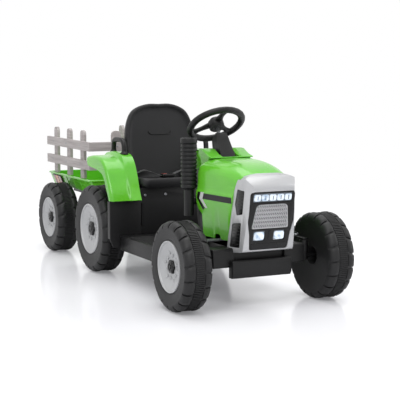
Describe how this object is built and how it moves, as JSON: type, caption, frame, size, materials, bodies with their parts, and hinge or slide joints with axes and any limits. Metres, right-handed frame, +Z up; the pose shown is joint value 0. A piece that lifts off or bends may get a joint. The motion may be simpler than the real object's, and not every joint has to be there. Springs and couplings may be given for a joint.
{
  "type": "ride-on toy tractor with trailer",
  "caption": "Child's battery ride-on tractor with a working steering linkage, rolling wheels and a fenced two-wheel trailer on a hitch pin.",
  "frame": {"origin": "on the ground under the middle of the tractor and trailer", "axes": "+Z up, -Y is the front of the tractor, +X is the driver's left"},
  "size_m": [0.474, 1.338, 0.4954],
  "materials": {
    "green_shell": "glossy bright green moulded plastic",
    "black_body": "black moulded polypropylene, satin",
    "black_seat": "black blow-moulded plastic, fine grain",
    "tyre_black": "dark blow-moulded plastic with tread",
    "silver_trim": "silver painted plastic",
    "rim_grey": "light grey moulded plastic",
    "mesh_grey": "grey embossed mesh",
    "fence_grey": "warm grey moulded boards",
    "lamp_clear": "clear lamp cover",
    "tail_red": "amber red lamp cover",
    "steel": "zinc plated",
    "webbing": "woven black belt",
    "motor_case": "dark case"
  },
  "bodies": {
    "tractor": {"chassis": "black_body", "seat_box": "black_body", "rear_axle": "steel", "hood": "green_shell", "grille_surround": "silver_trim", "face_panel": "black_body", "grille_mesh": "mesh_grey", "light_bar_lens": "lamp_clear", "lower_lamp_lens": "lamp_clear", "side_vent_right": "black_body", "side_vent_left": "black_body", "front_bumper": "black_body", "exhaust_stack": "black_body", "dash_body": "black_body", "dash_cowl": "green_shell", "fender_right": "green_shell", "fender_left": "green_shell", "grab_handle_right": "black_body", "grab_handle_left": "black_body", "seat": "black_seat", "seat_belt": "webbing", "gearbox_right": "motor_case", "gearbox_left": "motor_case", "battery": "motor_case", "hitch_pin": "steel"},
    "steering": {"steering_shaft": "steel", "steering_wheel": "black_body"},
    "horn": {"horn_button": "black_body"},
    "knuckle_right": {"knuckle_right": "steel"},
    "knuckle_left": {"knuckle_left": "steel"},
    "tie_rod": {"tie_rod": "steel"},
    "pedal": {"pedal": "black_body"},
    "direction_rocker": {"direction_switch": "black_body"},
    "power_rocker": {"power_switch": "black_body"},
    "trailer": {"trailer_frame": "black_body", "trailer_tub": "green_shell", "trailer_axle": "steel", "fence_right": "fence_grey", "fence_left": "fence_grey", "fence_front": "fence_grey", "tail_light_right": "tail_red", "tail_light_left": "tail_red"},
    "wheel_front_right": {"tyre_front_right": "tyre_black", "rim_front_right": "rim_grey", "hub_cap_front_right": "black_body"},
    "wheel_front_left": {"tyre_front_left": "tyre_black", "rim_front_left": "rim_grey", "hub_cap_front_left": "black_body"},
    "wheel_rear_right": {"tyre_rear_right": "tyre_black", "rim_rear_right": "rim_grey", "hub_cap_rear_right": "black_body"},
    "wheel_rear_left": {"tyre_rear_left": "tyre_black", "rim_rear_left": "rim_grey", "hub_cap_rear_left": "black_body"},
    "wheel_trailer_right": {"tyre_trailer_right": "tyre_black", "rim_trailer_right": "rim_grey", "hub_cap_trailer_right": "black_body"},
    "wheel_trailer_left": {"tyre_trailer_left": "tyre_black", "rim_trailer_left": "rim_grey", "hub_cap_trailer_left": "black_body"}
  },
  "joints": [
    {"name": "steering_turn", "type": "hinge", "parent": "tractor", "child": "steering", "pos_m": [0, -0.349, 0.446], "axis": [0, 0.5736, 0.8192], "range_deg": [-45, 45]},
    {"name": "kingpin_right", "type": "hinge", "parent": "tractor", "child": "knuckle_right", "pos_m": [-0.148, -0.558, 0.112], "axis": [0, 0, 1], "range_deg": [-25, 25]},
    {"name": "kingpin_left", "type": "hinge", "parent": "tractor", "child": "knuckle_left", "pos_m": [0.148, -0.558, 0.112], "axis": [0, 0, 1], "range_deg": [-25, 25]},
    {"name": "tie_rod_pivot", "type": "hinge", "parent": "knuckle_right", "child": "tie_rod", "pos_m": [-0.148, -0.516, 0.16373], "axis": [0, 0, 1], "range_deg": [-25, 25]},
    {"name": "wheel_front_right_spin", "type": "hinge", "parent": "knuckle_right", "child": "wheel_front_right", "pos_m": [-0.201, -0.558, 0.112], "axis": [1, 0, 0], "continuous": true},
    {"name": "wheel_front_left_spin", "type": "hinge", "parent": "knuckle_left", "child": "wheel_front_left", "pos_m": [0.201, -0.558, 0.112], "axis": [1, 0, 0], "continuous": true},
    {"name": "wheel_rear_right_spin", "type": "hinge", "parent": "tractor", "child": "wheel_rear_right", "pos_m": [-0.1725, 0.066, 0.127], "axis": [1, 0, 0], "continuous": true},
    {"name": "wheel_rear_left_spin", "type": "hinge", "parent": "tractor", "child": "wheel_rear_left", "pos_m": [0.1725, 0.066, 0.127], "axis": [1, 0, 0], "continuous": true},
    {"name": "wheel_trailer_right_spin", "type": "hinge", "parent": "trailer", "child": "wheel_trailer_right", "pos_m": [-0.155, 0.488, 0.112], "axis": [1, 0, 0], "continuous": true},
    {"name": "wheel_trailer_left_spin", "type": "hinge", "parent": "trailer", "child": "wheel_trailer_left", "pos_m": [0.155, 0.488, 0.112], "axis": [1, 0, 0], "continuous": true},
    {"name": "trailer_yaw", "type": "hinge", "parent": "tractor", "child": "trailer", "pos_m": [0, 0.165, 0.1], "axis": [0, 0, 1], "range_deg": [-28, 28]},
    {"name": "pedal_press", "type": "hinge", "parent": "tractor", "child": "pedal", "pos_m": [-0.058, -0.264, 0.1304], "axis": [1, 0, 0], "range_deg": [0, 8], "stiffness_Nm_per_rad": 1, "springref_deg": -9.74},
    {"name": "horn_press", "type": "slide", "parent": "steering", "child": "horn", "axis": [0, -0.5736, -0.8192], "range_m": [0, 0.0025], "stiffness_N_per_m": 600, "springref_m": -0.003},
    {"name": "direction_rock", "type": "hinge", "parent": "tractor", "child": "direction_rocker", "pos_m": [-0.062, -0.395, 0.3], "axis": [1, 0, 0], "range_deg": [-8, 8]},
    {"name": "power_rock", "type": "hinge", "parent": "tractor", "child": "power_rocker", "pos_m": [0.062, -0.395, 0.3], "axis": [1, 0, 0], "range_deg": [-8, 8]}
  ],
  "couplings": [
    {"joint": "kingpin_right", "follows": "steering_turn", "ratio": 0.55556},
    {"joint": "kingpin_left", "follows": "steering_turn", "ratio": 0.55556},
    {"joint": "tie_rod_pivot", "follows": "steering_turn", "ratio": -0.55556}
  ]
}
